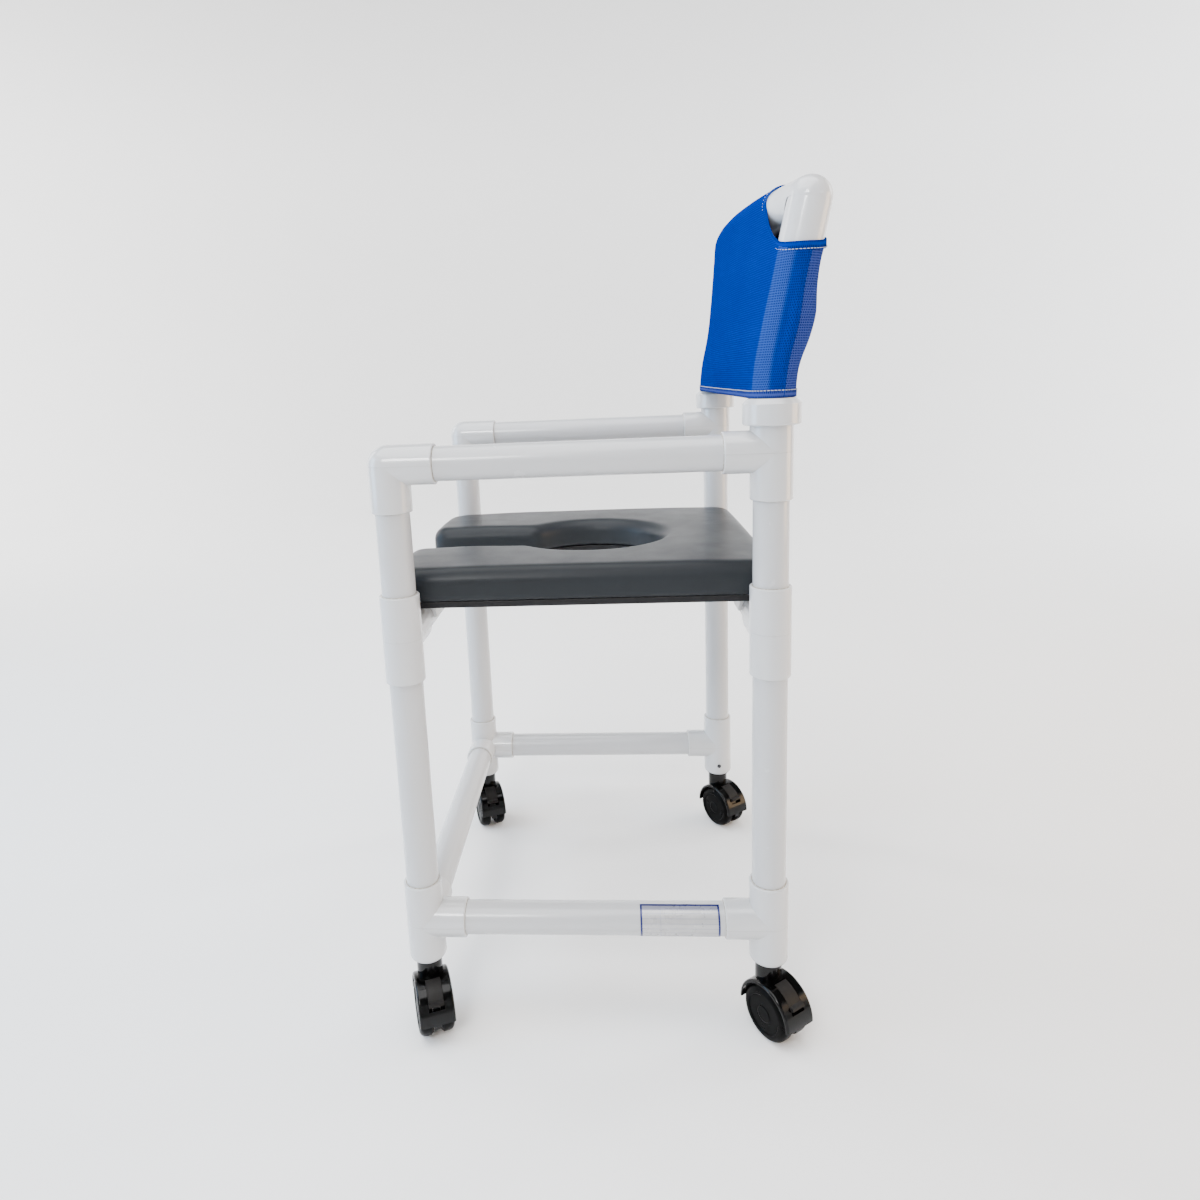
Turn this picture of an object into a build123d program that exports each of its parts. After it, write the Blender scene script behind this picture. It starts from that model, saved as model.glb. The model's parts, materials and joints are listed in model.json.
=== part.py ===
from build123d import *
from math import asin, cos, degrees, radians, sin, sqrt, tan
import os

os.makedirs("parts", exist_ok=True)

# Rolling commode and shower chair with a glued plastic-pipe frame, in millimetres.
# +Z is up and the sitter faces -Y, so the sitter's left hand is on +X.
# The origin is on the floor, midway between the four caster swivel axes.

# --- driving dimensions: pipe and fittings -------------------------------------------
pipe_r = 21.1            # 1-1/4 inch furniture pipe
pipe_bore_r = 17.5
fitting_r = 24.8
socket_clearance = 0.05  # glue line, radial
socket_depth = 32.0
run_half = 56.0          # centre of a fitting to the end of its run
branch_length = 57.0     # axis of the run to the end of a branch
stop_distance = branch_length - socket_depth
socket_lip_round = 1.6
foot_round = 7.0         # lower rim of the fittings that hold the casters

# --- driving dimensions: frame -------------------------------------------------------
half_width = 253.5       # X of the leg axes
half_depth = 226.0       # Y of the leg axes
rail_z = 157.0           # lower side rails and front cross rail
seat_rail_z = 548.0
arm_z = 764.0

# --- driving dimensions: back frame --------------------------------------------------
back_r = 24.15           # 1-1/2 inch furniture pipe
back_bore_r = 20.5
post_foot_z = arm_z + run_half
post_bend_r = 300.0
post_lean = 12.0         # degrees from vertical
corner_z = 1038.5
bar_sagitta = 38.0       # how far the top bar bows towards the sitter
post_stub = 3.0          # corner to the end of the post, along the post
bar_stub = 26.0          # corner to the end of the top bar, along the bar
corner_spigot = 24.0
corner_spigot_r = 18.8
cope_gap = 0.8
collar_r = 33.0
collar_low_z = 795.0
collar_top_z = 825.0
collar_chamfer = 6.0

# --- driving dimensions: back sling --------------------------------------------------
sling_gap = 1.0
sling_thickness = 1.4
sling_hem_z = 826.0
cutout_r = 62.0          # corner cut-out, as seen from the front
cutout_x = 266.0
cutout_z = 1052.0

# --- driving dimensions: seat --------------------------------------------------------
board_low_z = 575.0
board_thickness = 8.0
board_inset = 3.0
cushion_thickness = 42.0
seat_half_width = 222.0
seat_front_y = -256.0
seat_rear_y = 246.0
front_corner_r = 45.0
rear_corner_r = 35.0
hole_r = 106.0
hole_y = 6.0
slot_half = 63.0
slot_throat_r = 30.0
horn_tip_r = 26.0
cushion_edge_r = 20.0
saddle_x = 150.0
saddle_length = 40.0
saddle_wall = 4.0
saddle_flange = 5.0
saddle_flange_inner = 46.0   # from the rail axis towards the middle of the seat
saddle_flange_outer = 16.0
saddle_gap = 0.3
clip_screw_inset = 35.0      # from the rail axis towards the middle of the seat
clip_screw_spread = 11.0

# --- driving dimensions: casters -----------------------------------------------------
wheel_r = 36.0
wheel_inner = 5.5        # from the middle of the caster to the wheel's inner face
wheel_outer = 23.5
caster_trail = 14.0
axle_r = 4.0
axle_half = 20.0
running_gap = 0.05
hood_in_r = 38.6
hood_out_r = 42.6
hood_rim_round = 3.2
wheel_rim_round = 8.0
hood_web_half = 4.5
neck_r = 17.0
neck_top_z = 98.4
stem_r = 5.5
stem_low_z = 80.0
stem_top_z = 131.0
sleeve_flange_r = 19.5
sleeve_flange = 2.0
pedal_half = 9.9
pedal_slot_half = 10.4
pedal_pin_r = 1.2
pedal_pin_at = (76.0, 40.9)   # degrees up from the trailing side, distance from the axle
pedal_low_angle = 36.0
pedal_top_angle = 81.0
front_caster_heading = 21.0    # degrees from +X of the trailing direction at rest
rear_caster_heading = 35.0
screw_z = rail_z - 36.0

# --- driving dimensions: screws ------------------------------------------------------
screw_r = 2.0
screw_head_r = 3.6
screw_head = 1.6
screw_reach = 12.0       # distance from the leg axis to the point of a socket screw

# --- driving dimensions: information label -------------------------------------------
label_y = (60.0, 162.0)
label_sector = (-50.0, 86.0)  # degrees up from +X around the rail
label_thickness = 0.3

corners = {
    "front_left": (half_width, -half_depth),
    "front_right": (-half_width, -half_depth),
    "rear_left": (half_width, half_depth),
    "rear_right": (-half_width, half_depth),
}
sides = {"left": 1.0, "right": -1.0}
up, down = (0, 0, 1), (0, 0, -1)
fitting_bottom_z = rail_z - run_half


def save(piece, node):
    piece.part.label = node
    export_step(piece.part, f"parts/{node}.step")


def tube(start, end, outer=pipe_r, bore=pipe_bore_r):
    """Straight pipe between two points."""
    start, end = Vector(*start), Vector(*end)
    with BuildPart() as piece:
        with BuildSketch(Plane(start, z_dir=end - start)):
            Circle(outer)
            Circle(bore, mode=Mode.SUBTRACT)
        extrude(amount=(end - start).length)
    return piece


def fitting(centre, arms, rounds=None, ball=False, screw_hole=None):
    """Moulded pipe fitting: one hollow socket along each (direction, length) arm."""
    rounds = rounds or {}
    middle = Vector(*centre)
    with BuildPart() as piece:
        for direction, length in arms:
            lip = rounds.get(direction, socket_lip_round)
            beside = (0, 0, 1) if direction[2] == 0 else (0, 1, 0)
            with BuildSketch(Plane(middle, x_dir=direction, z_dir=beside)):
                with BuildLine():
                    Polyline((0, fitting_r), (0, 0), (length, 0), (length, fitting_r - lip))
                    RadiusArc((length, fitting_r - lip), (length - lip, fitting_r), -lip)
                    Line((length - lip, fitting_r), (0, fitting_r))
                make_face()
            revolve(axis=Axis(middle, direction))
        if ball:
            with Locations(middle):
                Sphere(fitting_r)
        for direction, length in arms:
            with BuildSketch(Plane(middle, z_dir=direction)):
                Circle(pipe_bore_r)
            extrude(amount=length, mode=Mode.SUBTRACT)
            socket_foot = middle + Vector(*direction) * (length - socket_depth)
            with BuildSketch(Plane(socket_foot, z_dir=direction)):
                Circle(pipe_r + socket_clearance)
            extrude(amount=socket_depth, mode=Mode.SUBTRACT)
        if ball:
            with Locations(middle):
                Sphere(pipe_bore_r, mode=Mode.SUBTRACT)
        if screw_hole:
            with BuildSketch(screw_hole):
                Circle(screw_r + socket_clearance)
            extrude(amount=fitting_r + 1, mode=Mode.SUBTRACT)
    return piece


# --- leg fittings --------------------------------------------------------------------
for corner, (x, y) in corners.items():
    side = 1.0 if x > 0 else -1.0
    inward = (-side, 0, 0)
    along = (0, 1, 0) if y < 0 else (0, -1, 0)
    base_arms = [(up, run_half), (down, run_half), (along, branch_length)]
    if y < 0:
        base_arms.append((inward, branch_length))
    screw_hole = Plane((x, y, screw_z), z_dir=inward)
    base = fitting((x, y, rail_z), base_arms, rounds={down: foot_round}, screw_hole=screw_hole)
    save(base, f"{corner}_base_tee")

    seat_arms = [(up, run_half), (down, run_half), (inward, branch_length)]
    save(fitting((x, y, seat_rail_z), seat_arms), f"{corner}_seat_tee")

    if y < 0:
        elbow = fitting((x, y, arm_z), [(down, branch_length), (along, branch_length)], ball=True)
        save(elbow, f"{corner}_arm_elbow")
    else:
        arm_arms = [(up, run_half), (down, run_half), (along, branch_length)]
        save(fitting((x, y, arm_z), arm_arms), f"{corner}_arm_tee")

    run_stop = run_half - socket_depth
    lower_leg = tube((x, y, rail_z + run_stop), (x, y, seat_rail_z - run_stop))
    save(lower_leg, f"{corner}_lower_leg")
    arm_stop = stop_distance if y < 0 else run_stop
    upper_leg = tube((x, y, seat_rail_z + run_stop), (x, y, arm_z - arm_stop))
    save(upper_leg, f"{corner}_upper_leg")

# --- rails and armrests --------------------------------------------------------------
for name, side in sides.items():
    x = side * half_width
    reach = half_depth - stop_distance
    save(tube((x, -reach, rail_z), (x, reach, rail_z)), f"{name}_lower_side_rail")
    save(tube((x, -reach, arm_z), (x, reach, arm_z)), f"{name}_armrest_tube")

cross_reach = half_width - stop_distance
for node, y, z in (
    ("front_lower_cross_rail", -half_depth, rail_z),
    ("front_seat_rail", -half_depth, seat_rail_z),
    ("rear_seat_rail", half_depth, seat_rail_z),
):
    save(tube((-cross_reach, y, z), (cross_reach, y, z)), node)

# --- back frame ----------------------------------------------------------------------
bend_end_z = post_foot_z + post_bend_r * sin(radians(post_lean))
bend_end_y = half_depth + post_bend_r * (1 - cos(radians(post_lean)))
corner_y = bend_end_y + (corner_z - bend_end_z) * tan(radians(post_lean))
bar_r = (half_width**2 + bar_sagitta**2) / (2 * bar_sagitta)
bar_centre_y = corner_y - bar_sagitta + bar_r
post_direction = Vector(0, sin(radians(post_lean)), cos(radians(post_lean)))
bar_end_angle = degrees(asin(half_width / bar_r))


def bar_point(x, z=corner_z):
    """Point on the bowed centre line of the top bar."""
    return (x, bar_centre_y - sqrt(bar_r**2 - x**2), z)


for name, side in sides.items():
    x = side * half_width
    spigot_low = post_foot_z - socket_depth
    bend_end = Vector(x, bend_end_y, bend_end_z)
    straight = (Vector(x, corner_y, corner_z) - bend_end).length - post_stub
    with BuildPart() as post:
        with BuildSketch(Plane((x, half_depth, post_foot_z), z_dir=up)):
            Circle(back_r)
            Circle(back_bore_r, mode=Mode.SUBTRACT)
        bend_axis = Axis((x, half_depth + post_bend_r, post_foot_z), (-1, 0, 0))
        revolve(axis=bend_axis, revolution_arc=post_lean)
        with BuildSketch(Plane(bend_end, z_dir=post_direction)):
            Circle(back_r)
            Circle(back_bore_r, mode=Mode.SUBTRACT)
        extrude(amount=straight)
        # reduced foot that is glued into the arm tee
        with BuildSketch(Plane((x, half_depth, spigot_low), z_dir=up)):
            Circle(pipe_r)
        extrude(amount=socket_depth + 3.0)
        with BuildSketch(Plane((x, half_depth, spigot_low), z_dir=up)):
            Circle(pipe_bore_r)
        extrude(amount=socket_depth + 3.0, mode=Mode.SUBTRACT)
    save(post, f"{name}_back_post")

with BuildPart() as collars:
    for side in sides.values():
        x = side * half_width
        with BuildSketch(Plane((x, half_depth, collar_low_z), z_dir=up)):
            Circle(collar_r)
        extrude(amount=collar_top_z - collar_low_z)
    chamfer(collars.faces().group_by(Axis.Z)[-1].edges(), collar_chamfer)
    fillet(collars.faces().group_by(Axis.Z)[0].edges(), 2.0)
    for side in sides.values():
        x = side * half_width
        with BuildSketch(Plane((x, half_depth, collar_low_z), z_dir=up)):
            Circle(fitting_r + socket_clearance)
        extrude(amount=post_foot_z - collar_low_z, mode=Mode.SUBTRACT)
        with BuildSketch(Plane((x, half_depth, post_foot_z), z_dir=up)):
            Circle(back_r + 0.35)
        extrude(amount=collar_top_z - post_foot_z, mode=Mode.SUBTRACT)
save(collars, "back_post_collars")

bar_cut_angle = bar_end_angle - degrees(bar_stub / bar_r)
bar_end_x = bar_r * sin(radians(bar_cut_angle))
with BuildPart() as top_bar:
    with BuildLine(Plane.XY.offset(corner_z)) as bar_line:
        ThreePointArc(bar_point(-bar_end_x)[:2], bar_point(0)[:2], bar_point(bar_end_x)[:2])
    with BuildSketch(Plane(bar_line.wires()[0] @ 0, z_dir=bar_line.wires()[0] % 0)):
        Circle(back_r)
        Circle(back_bore_r, mode=Mode.SUBTRACT)
    sweep(path=bar_line.wires()[0])
save(top_bar, "back_top_bar")

with BuildPart() as corner_elbows:
    for side in sides.values():
        middle = Vector(side * half_width, corner_y, corner_z)
        bar_end = Vector(*bar_point(side * bar_end_x))
        along_bar = Vector(
            -side * cos(radians(bar_cut_angle)), -sin(radians(bar_cut_angle)), 0
        )
        down_post = post_direction * -1
        dome = bar_end - along_bar * bar_stub
        with BuildSketch(Plane(dome, x_dir=along_bar, z_dir=(0, 0, 1))):
            with BuildLine():
                RadiusArc((-back_r, 0), (0, back_r), back_r)
                Polyline((0, back_r), (bar_stub - 0.1, back_r), (bar_stub - 0.1, 0), (-back_r, 0))
            make_face()
        revolve(axis=Axis(dome, along_bar))
        # the underside is coped to sit on the post
        with BuildSketch(Plane(middle + down_post * post_stub, z_dir=down_post)):
            Circle(back_r + cope_gap)
        extrude(amount=2 * back_r, mode=Mode.SUBTRACT)
        post_end = middle + down_post * post_stub
        for seat, direction in ((post_end, down_post), (bar_end, along_bar)):
            with BuildSketch(Plane(seat - direction, z_dir=direction)):
                Circle(corner_spigot_r)
            extrude(amount=1 + corner_spigot)
save(corner_elbows, "back_corner_elbows")

# --- back sling ----------------------------------------------------------------------


def post_y(z):
    """Y of the back post's centre line at a height."""
    if z <= bend_end_z:
        return half_depth + post_bend_r - sqrt(post_bend_r**2 - max(z - post_foot_z, 0) ** 2)
    return bend_end_y + (z - bend_end_z) * tan(radians(post_lean))


def sling_section(z, reach):
    """Long slot round both posts at a height, bowed forward as the top bar is."""
    rise = (z - sling_hem_z) / (corner_z - sling_hem_z)
    bow = 1.0 + (bar_sagitta - 1.0) * rise
    y = post_y(z)
    with BuildSketch(Plane.XY.offset(z)) as section:
        with BuildLine(mode=Mode.PRIVATE):
            spine = ThreePointArc((-half_width, y), (0, y - bow), (half_width, y))
        SlotArc(spine, 2 * reach)
    return section.sketch


sling_in = back_r + sling_gap
sling_out = sling_in + sling_thickness
sling_levels = (sling_hem_z, (sling_hem_z + bend_end_z) / 2, bend_end_z, corner_z)
with BuildPart() as sling:
    for reach, mode in ((sling_out, Mode.ADD), (sling_in, Mode.SUBTRACT)):
        for low, high in zip(sling_levels, sling_levels[1:]):
            loft([sling_section(low, reach), sling_section(high, reach)], ruled=True, mode=mode)
    # turn-over on top of the bar
    with BuildLine(Plane.XY.offset(corner_z)) as crown_line:
        ThreePointArc(
            bar_point(-half_width)[:2], bar_point(0)[:2], bar_point(half_width)[:2]
        )
    crown_start = crown_line.wires()[0] @ 0
    with BuildSketch(Plane(crown_start, x_dir=(0, 0, 1), z_dir=crown_line.wires()[0] % 0)):
        Circle(sling_out)
        Circle(sling_in, mode=Mode.SUBTRACT)
        with Locations((-sling_out, 0)):
            Rectangle(2 * sling_out, 2 * sling_out, mode=Mode.SUBTRACT)
    sweep(path=crown_line.wires()[0])
    for side in sides.values():
        with BuildSketch(Plane((side * cutout_x, 0, cutout_z), z_dir=(0, 1, 0))):
            Circle(cutout_r)
        extrude(amount=2 * half_depth, mode=Mode.SUBTRACT)
save(sling, "back_sling")

# --- seat ----------------------------------------------------------------------------


def seat_outline(inset):
    """Open-front seat: rounded oblong with a keyhole opening to the front edge."""
    with BuildSketch() as outline:
        width = 2 * (seat_half_width - inset)
        depth = seat_rear_y - seat_front_y - 2 * inset
        with Locations((0, (seat_front_y + seat_rear_y) / 2)):
            Rectangle(width, depth)
        fillet(outline.vertices().group_by(Axis.Y)[0], front_corner_r - inset)
        fillet(outline.vertices().group_by(Axis.Y)[-1], rear_corner_r - inset)
        with Locations((0, hole_y)):
            Circle(hole_r, mode=Mode.SUBTRACT)
        with Locations((0, (seat_front_y + hole_y) / 2)):
            Rectangle(2 * slot_half, hole_y - seat_front_y + 2 * inset, mode=Mode.SUBTRACT)
        throat_y = hole_y - sqrt(hole_r**2 - slot_half**2)
        for x in (-slot_half, slot_half):
            throat = outline.vertices().sort_by_distance((x, throat_y, 0))[0]
            fillet(throat, slot_throat_r)
        for x in (-slot_half, slot_half):
            tip = outline.vertices().sort_by_distance((x, seat_front_y + inset, 0))[0]
            fillet(tip, horn_tip_r)
    return outline.sketch


cushion_low_z = board_low_z + board_thickness
with BuildPart() as cushion:
    with BuildSketch(Plane.XY.offset(cushion_low_z)):
        add(seat_outline(0))
    extrude(amount=cushion_thickness)
    fillet(cushion.faces().sort_by(Axis.Z)[-1].edges(), cushion_edge_r)
save(cushion, "seat_cushion")


def saddle_places():
    """(x, rail y, direction towards the middle of the seat) of each saddle clip."""
    return [
        (x, y, -1.0 if y > 0 else 1.0)
        for x in (-saddle_x, saddle_x)
        for y in (-half_depth, half_depth)
    ]


def clip_screw_places():
    """(x, y) of every screw that holds a saddle clip to the board."""
    return [
        (x + spread, y + towards_middle * clip_screw_inset)
        for x, y, towards_middle in saddle_places()
        for spread in (-clip_screw_spread, clip_screw_spread)
    ]


with BuildPart() as board:
    with BuildSketch(Plane.XY.offset(board_low_z)):
        add(seat_outline(board_inset))
    extrude(amount=board_thickness)
    for x, y in clip_screw_places():
        with BuildSketch(Plane((x, y, board_low_z), z_dir=up)):
            Circle(screw_r + socket_clearance)
        extrude(amount=board_thickness - 1.5, mode=Mode.SUBTRACT)
save(board, "seat_base_board")

saddle_in = pipe_r + saddle_gap
saddle_out = saddle_in + saddle_wall
flange_top = board_low_z - seat_rail_z
with BuildPart() as saddles:
    for x, y, towards_middle in saddle_places():
        end_plane = Plane(
            (x - saddle_length / 2, y, seat_rail_z), x_dir=(0, 1, 0), z_dir=(1, 0, 0)
        )
        flange_low = min(towards_middle * saddle_flange_inner, -towards_middle * saddle_flange_outer)
        flange_length = saddle_flange_inner + saddle_flange_outer
        with BuildSketch(end_plane):
            Circle(saddle_out)
            with Locations((flange_low + flange_length / 2, flange_top - saddle_flange / 2)):
                Rectangle(flange_length, saddle_flange)
            with Locations((0, -saddle_out)):
                Rectangle(2 * saddle_out, 2 * saddle_out, mode=Mode.SUBTRACT)
            Circle(saddle_in, mode=Mode.SUBTRACT)
        extrude(amount=saddle_length)
    for x, y in clip_screw_places():
        with BuildSketch(Plane((x, y, board_low_z), z_dir=down)):
            Circle(screw_r + socket_clearance)
        extrude(amount=saddle_flange + 1, mode=Mode.SUBTRACT)
save(saddles, "seat_saddle_clips")

clip_screw_head = 2.0
head_z = board_low_z - saddle_flange
with BuildPart() as clip_screws:
    for x, y in clip_screw_places():
        with BuildSketch(Plane((x, y, head_z), z_dir=down)):
            Circle(screw_head_r)
        extrude(amount=clip_screw_head, taper=20)
        with BuildSketch(Plane((x, y, head_z), z_dir=up)):
            Circle(screw_r)
        extrude(amount=saddle_flange + board_thickness - 2.0)
        with BuildSketch(Plane((x, y, head_z - clip_screw_head), z_dir=up)):
            Rectangle(3.2, 0.8)
            Rectangle(0.8, 3.2)
        extrude(amount=1.0, mode=Mode.SUBTRACT)
save(clip_screws, "seat_clip_screws")

# --- caster sockets ------------------------------------------------------------------
with BuildPart() as sleeves:
    for x, y in corners.values():
        with BuildSketch(Plane((x, y, fitting_bottom_z), z_dir=up)):
            Circle(pipe_r)
        extrude(amount=socket_depth)
        with BuildSketch(Plane((x, y, fitting_bottom_z - sleeve_flange), z_dir=up)):
            Circle(sleeve_flange_r)
        extrude(amount=sleeve_flange)
        with BuildSketch(Plane((x, y, fitting_bottom_z - sleeve_flange), z_dir=up)):
            Circle(stem_r + running_gap)
        extrude(amount=stem_top_z - fitting_bottom_z + sleeve_flange + 0.5, mode=Mode.SUBTRACT)
        inward = (-1 if x > 0 else 1, 0, 0)
        with BuildSketch(Plane((x, y, screw_z), z_dir=inward)):
            with Locations((0, 0)):
                Circle(screw_r + socket_clearance)
        extrude(amount=pipe_r + 1, mode=Mode.SUBTRACT)
save(sleeves, "caster_stem_sockets")

with BuildPart() as socket_screws:
    for x, y in corners.values():
        side = 1.0 if x > 0 else -1.0
        inward = (-side, 0, 0)
        point_x = x - side * screw_reach
        head_x = x - side * fitting_r
        with BuildSketch(Plane((point_x, y, screw_z), z_dir=inward)):
            Circle(screw_r)
        extrude(amount=fitting_r - screw_reach)
        with BuildSketch(Plane((head_x, y, screw_z), z_dir=inward)):
            Circle(screw_head_r)
        extrude(amount=screw_head, taper=20)
        with BuildSketch(Plane((head_x - side * screw_head, y, screw_z), z_dir=(side, 0, 0))):
            Rectangle(3.2, 0.8)
            Rectangle(0.8, 3.2)
        extrude(amount=0.9, mode=Mode.SUBTRACT)
save(socket_screws, "caster_socket_screws")

# --- casters -------------------------------------------------------------------------
for corner, (x, y) in corners.items():
    heading = front_caster_heading if y < 0 else rear_caster_heading
    trail = Vector(cos(radians(heading)), sin(radians(heading)), 0)
    across = Vector(-sin(radians(heading)), cos(radians(heading)), 0)
    swivel = Vector(x, y, 0)
    axle_middle = swivel + trail * caster_trail + Vector(0, 0, wheel_r)

    def side_plane(offset):
        """Plane beside the caster: local X trails, local Y is up, seen along -across."""
        return Plane(axle_middle + across * offset, x_dir=trail, z_dir=across * -1)

    def around(angle, distance):
        """Local point on a side plane, at an angle up from the trailing side."""
        return (distance * cos(radians(angle)), distance * sin(radians(angle)))

    with BuildPart() as hood:
        with BuildSketch(side_plane(wheel_outer)):
            Circle(hood_out_r)
            Circle(hood_in_r, mode=Mode.SUBTRACT)
            with Locations((0, -hood_out_r)):
                Rectangle(2 * hood_out_r, 2 * hood_out_r, mode=Mode.SUBTRACT)
        extrude(amount=2 * wheel_outer)
        hood_rims = hood.edges().filter_by(GeomType.CIRCLE).group_by(SortBy.RADIUS)[-1]
        fillet(hood_rims, hood_rim_round)
        # neck above the wheels
        with BuildSketch(Plane(swivel + Vector(0, 0, wheel_r + hood_out_r - 12), z_dir=up)):
            Circle(neck_r)
        extrude(amount=neck_top_z - (wheel_r + hood_out_r - 12))
        with BuildSketch(side_plane(wheel_outer)):
            Circle(hood_in_r)
        extrude(amount=2 * wheel_outer, mode=Mode.SUBTRACT)
        # web between the wheels, which holds the axle
        with BuildSketch(side_plane(hood_web_half)):
            Circle(hood_in_r + 1)
            with Locations((0, -hood_out_r - 8)):
                Rectangle(2 * hood_out_r, 2 * hood_out_r, mode=Mode.SUBTRACT)
        extrude(amount=2 * hood_web_half)
        # slot for the brake pedal
        with BuildSketch(side_plane(pedal_slot_half)):
            Circle(hood_out_r + 4)
            Circle(hood_in_r - 3.5, mode=Mode.SUBTRACT)
            with BuildLine():
                Polyline(
                    (0, 0),
                    around(pedal_top_angle + 2, 3 * hood_out_r),
                    (-3 * hood_out_r, 3 * hood_out_r),
                    (-3 * hood_out_r, -3 * hood_out_r),
                    (3 * hood_out_r, -3 * hood_out_r),
                    around(pedal_low_angle - 10, 3 * hood_out_r),
                    (0, 0),
                )
            make_face(mode=Mode.SUBTRACT)
        extrude(amount=2 * pedal_slot_half, mode=Mode.SUBTRACT)
        pin = around(*pedal_pin_at)
        pin_reach = pedal_slot_half + 4.0
        with BuildSketch(side_plane(pin_reach)):
            with Locations(pin):
                Circle(pedal_pin_r + running_gap)
        extrude(amount=2 * pin_reach, mode=Mode.SUBTRACT)
        with BuildSketch(side_plane(axle_half)):
            Circle(axle_r + 0.02)
        extrude(amount=2 * axle_half, mode=Mode.SUBTRACT)
        with BuildSketch(Plane(swivel + Vector(0, 0, stem_low_z), z_dir=up)):
            Circle(stem_r + 0.02)
        extrude(amount=neck_top_z - stem_low_z, mode=Mode.SUBTRACT)
    save(hood, f"{corner}_caster_hood")

    with BuildPart() as stem:
        with BuildSketch(Plane(swivel + Vector(0, 0, stem_low_z), z_dir=up)):
            Circle(stem_r)
        extrude(amount=stem_top_z - stem_low_z)
        chamfer(stem.edges().group_by(Axis.Z)[-1], 1.2)
    save(stem, f"{corner}_caster_stem")

    with BuildPart() as axle:
        with BuildSketch(side_plane(axle_half)):
            Circle(axle_r)
        extrude(amount=2 * axle_half)
    save(axle, f"{corner}_caster_axle")

    with BuildPart() as wheels:
        for hand in (1, -1):
            plane = Plane(axle_middle, x_dir=across * hand, z_dir=trail * hand)
            with BuildSketch(plane):
                with BuildLine():
                    Polyline(
                        (wheel_inner, axle_r + running_gap),
                        (wheel_inner, wheel_r - 3),
                        (wheel_inner + 3, wheel_r),
                        (wheel_outer - wheel_rim_round, wheel_r),
                    )
                    RadiusArc(
                        (wheel_outer - wheel_rim_round, wheel_r),
                        (wheel_outer, wheel_r - wheel_rim_round),
                        wheel_rim_round,
                    )
                    Polyline(
                        (wheel_outer, wheel_r - wheel_rim_round),
                        (wheel_outer, wheel_r - wheel_rim_round - 2),
                        (wheel_outer - 1.4, wheel_r - wheel_rim_round - 3.5),
                        (wheel_outer - 1.4, 11),
                        (wheel_outer - 0.6, 9.5),
                        (wheel_outer - 0.6, 0),
                        (axle_half + 0.8, 0),
                        (axle_half + 0.8, axle_r + running_gap),
                        (wheel_inner, axle_r + running_gap),
                    )
                make_face()
            revolve(axis=Axis(axle_middle, across))
    save(wheels, f"{corner}_caster_wheels")

    with BuildPart() as pedal:
        with BuildSketch(side_plane(pedal_half)):
            Circle(hood_out_r)
            Circle(hood_in_r + 0.7, mode=Mode.SUBTRACT)
            with BuildLine():
                Polyline(
                    (0, 0),
                    around(pedal_top_angle, 3 * hood_out_r),
                    (-3 * hood_out_r, 3 * hood_out_r),
                    (-3 * hood_out_r, -3 * hood_out_r),
                    (3 * hood_out_r, -3 * hood_out_r),
                    around(pedal_low_angle, 3 * hood_out_r),
                    (0, 0),
                )
            make_face(mode=Mode.SUBTRACT)
            # lip that the foot presses
            with BuildLine():
                Polyline(
                    around(pedal_low_angle, hood_in_r + 0.7),
                    around(pedal_low_angle - 4, hood_in_r + 0.9),
                    around(pedal_low_angle - 3, hood_out_r + 4.5),
                    around(pedal_low_angle + 0.5, hood_out_r + 4.9),
                    around(pedal_low_angle + 6, hood_out_r - 0.5),
                    around(pedal_low_angle + 6, hood_in_r + 1.5),
                    around(pedal_low_angle, hood_in_r + 0.7),
                )
            make_face()
        extrude(amount=2 * pedal_half)
        with BuildSketch(side_plane(pin_reach - 0.3)):
            with Locations(pin):
                Circle(pedal_pin_r)
        extrude(amount=2 * (pin_reach - 0.3))
    save(pedal, f"{corner}_brake_pedal")

# --- information label ---------------------------------------------------------------
with BuildPart() as label:
    with BuildSketch(Plane((half_width, label_y[0], rail_z), x_dir=(1, 0, 0), z_dir=(0, -1, 0))):
        Circle(pipe_r + 0.05 + label_thickness)
        Circle(pipe_r + 0.05, mode=Mode.SUBTRACT)
        far = 4 * pipe_r
        low, high = label_sector
        with BuildLine():
            Polyline(
                (0, 0),
                (far * cos(radians(high)), far * sin(radians(high))),
                (-far, far),
                (-far, -far),
                (far * cos(radians(low)), far * sin(radians(low))),
                (0, 0),
            )
        make_face(mode=Mode.SUBTRACT)
    extrude(amount=-(label_y[1] - label_y[0]))
save(label, "information_label")
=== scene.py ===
import json
import math

import bmesh
import bpy
from mathutils import Matrix, Vector, noise
from mathutils.kdtree import KDTree


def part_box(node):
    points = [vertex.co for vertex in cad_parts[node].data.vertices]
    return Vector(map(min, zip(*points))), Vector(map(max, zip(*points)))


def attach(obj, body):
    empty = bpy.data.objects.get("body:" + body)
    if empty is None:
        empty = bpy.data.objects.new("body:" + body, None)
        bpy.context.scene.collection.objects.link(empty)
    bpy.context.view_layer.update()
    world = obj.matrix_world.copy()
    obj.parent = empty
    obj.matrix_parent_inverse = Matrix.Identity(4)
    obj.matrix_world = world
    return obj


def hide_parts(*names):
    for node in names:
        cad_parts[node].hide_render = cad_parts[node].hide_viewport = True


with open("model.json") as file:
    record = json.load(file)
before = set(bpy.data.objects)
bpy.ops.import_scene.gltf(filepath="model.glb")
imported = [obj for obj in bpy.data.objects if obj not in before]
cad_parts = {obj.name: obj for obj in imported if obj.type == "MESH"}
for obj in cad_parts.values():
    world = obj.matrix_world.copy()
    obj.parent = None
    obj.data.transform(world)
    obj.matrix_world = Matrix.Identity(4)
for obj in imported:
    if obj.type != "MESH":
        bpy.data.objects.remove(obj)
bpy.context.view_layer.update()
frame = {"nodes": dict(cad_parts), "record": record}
mm = 0.001
seam_degrees = 108  # how far round the post the sling's side seam lies, from square to the front

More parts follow.
